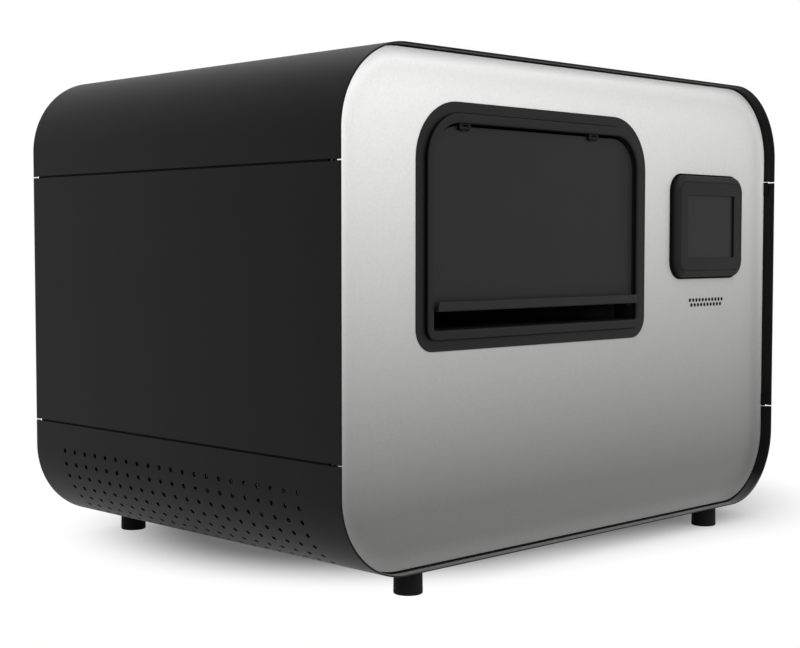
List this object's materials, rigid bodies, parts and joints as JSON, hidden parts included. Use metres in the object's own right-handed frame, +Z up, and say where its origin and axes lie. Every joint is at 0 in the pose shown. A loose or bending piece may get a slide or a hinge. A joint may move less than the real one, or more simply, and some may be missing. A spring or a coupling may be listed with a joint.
{
  "type": "braille embosser",
  "caption": "Desktop braille embosser: rounded sheet-steel case with hinged cover, front window with a flap, touch display and pin-feed embossing unit.",
  "frame": {"origin": "on the floor, under the centre of the case", "axes": "+X to the right seen from the front, +Y from the front towards the back, +Z up"},
  "size_m": [0.75, 0.538, 0.545],
  "materials": {
    "shell_paint": "dark charcoal powder coat, satin, with a fine texture",
    "rear_paint": "dark charcoal powder coat",
    "tray_paint": "matt black paint",
    "motor_paint": "black enamel",
    "silver_panel": "satin silver with a faint grain",
    "black_plastic": "moulded black plastic, fine texture",
    "flap_plastic": "dark grey plastic, satin",
    "display_plastic": "dark grey moulded plastic, satin",
    "wheel_plastic": "grey engineering plastic",
    "screen": "dark display glass, switched off",
    "circuit_board": "green solder mask",
    "rubber": "black rubber",
    "steel": "bright steel",
    "machined_steel": "ground steel",
    "zinc_steel": "zinc-plated sheet steel",
    "aluminium": "turned aluminium",
    "bronze": "sintered bronze",
    "coil": "lacquered copper windings in steel cups"
  },
  "bodies": {
    "chassis": {"left_side_panel": "shell_paint", "right_side_panel": "shell_paint", "bottom_tray": "shell_paint", "front_panel": "silver_panel", "rear_panel": "rear_paint", "window_bezel": "black_plastic", "flap_hinge_brackets": "black_plastic", "flap_hinge_pins": "steel", "display_bezel": "display_plastic", "display_screen": "screen", "display_board": "circuit_board", "speaker": "black_plastic", "feet": "rubber", "foot_screws": "steel", "base_plate": "zinc_steel", "left_frame": "zinc_steel", "right_frame": "zinc_steel", "tie_bars": "steel", "cover_bumpers": "rubber", "stacker_tray": "tray_paint", "inlet_table": "zinc_steel", "feed_bushes": "bronze", "die_bar": "machined_steel", "pin_guide": "machined_steel", "solenoid_bank": "coil", "cutter_bed": "machined_steel", "cutter_guides": "zinc_steel", "cutter_bridge": "zinc_steel", "roller_bushes": "bronze", "feed_motor": "motor_paint", "timing_belt": "rubber", "power_supply": "zinc_steel", "main_board": "circuit_board", "driver_board": "circuit_board", "fan_frame": "black_plastic", "fan_guard": "steel", "mains_inlet": "black_plastic", "power_switch": "black_plastic", "data_ports": "steel", "cover_hinge_leaves": "rear_paint", "cover_hinge_pins": "steel", "panel_screws": "steel"},
    "cover": {"top_cover": "shell_paint", "cover_hinge_lid_leaves": "rear_paint"},
    "flap": {"window_flap": "flap_plastic"},
    "feed": {"feed_shaft": "steel", "pin_wheels": "wheel_plastic", "feed_knob": "black_plastic", "feed_pulley": "aluminium"},
    "exit": {"exit_roller": "steel", "exit_tyres": "rubber", "exit_pulley": "aluminium"},
    "pinch": {"pinch_roller": "steel"},
    "motor": {"motor_pulley": "steel"},
    "comb": {"emboss_pins": "machined_steel"},
    "blade": {"cutter_blade": "machined_steel"},
    "lid_left": {"feed_lid_left": "wheel_plastic"},
    "lid_right": {"feed_lid_right": "wheel_plastic"},
    "fan": {"fan_rotor": "black_plastic"},
    "rocker": {"switch_rocker": "black_plastic"}
  },
  "joints": [
    {"name": "cover_hinge", "type": "hinge", "parent": "chassis", "child": "cover", "pos_m": [0, 0.2615, 0.537], "axis": [-1, 0, 0], "range_deg": [0, 65]},
    {"name": "flap_hinge", "type": "hinge", "parent": "chassis", "child": "flap", "pos_m": [-0.0725, -0.2555, 0.4679], "axis": [-1, 0, 0], "range_deg": [0, 80]},
    {"name": "feed_spin", "type": "hinge", "parent": "chassis", "child": "feed", "pos_m": [-0.0725, 0.222, 0.4548], "axis": [1, 0, 0], "continuous": true},
    {"name": "exit_spin", "type": "hinge", "parent": "chassis", "child": "exit", "pos_m": [-0.0725, 0.099, 0.461], "axis": [1, 0, 0], "continuous": true},
    {"name": "pinch_spin", "type": "hinge", "parent": "chassis", "child": "pinch", "pos_m": [-0.0725, 0.099, 0.4846], "axis": [1, 0, 0], "continuous": true},
    {"name": "motor_spin", "type": "hinge", "parent": "chassis", "child": "motor", "pos_m": [0.1, 0.2, 0.33], "axis": [1, 0, 0], "continuous": true},
    {"name": "comb_lift", "type": "slide", "parent": "chassis", "child": "comb", "axis": [0, 0, 1], "range_m": [0, 0.003], "stiffness_N_per_m": 500, "springref_m": -0.002},
    {"name": "blade_cut", "type": "slide", "parent": "chassis", "child": "blade", "axis": [0, 0, -1], "range_m": [0, 0.008], "stiffness_N_per_m": 600, "springref_m": -0.01},
    {"name": "lid_left_hinge", "type": "hinge", "parent": "chassis", "child": "lid_left", "pos_m": [-0.2305, 0.241, 0.49], "axis": [-1, 0, 0], "range_deg": [0, 75]},
    {"name": "lid_right_hinge", "type": "hinge", "parent": "chassis", "child": "lid_right", "pos_m": [0.0855, 0.241, 0.49], "axis": [-1, 0, 0], "range_deg": [0, 75]},
    {"name": "fan_spin", "type": "hinge", "parent": "chassis", "child": "fan", "pos_m": [0.245, 0.24, 0.33], "axis": [0, 1, 0], "continuous": true},
    {"name": "power_rocker", "type": "hinge", "parent": "chassis", "child": "rocker", "pos_m": [0.3, 0.255, 0.227], "axis": [-1, 0, 0], "range_deg": [0, 24]}
  ],
  "couplings": [
    {"joint": "exit_spin", "follows": "feed_spin", "ratio": 1.4429},
    {"joint": "pinch_spin", "follows": "feed_spin", "ratio": -2.2444},
    {"joint": "motor_spin", "follows": "feed_spin", "ratio": 1.925}
  ]
}
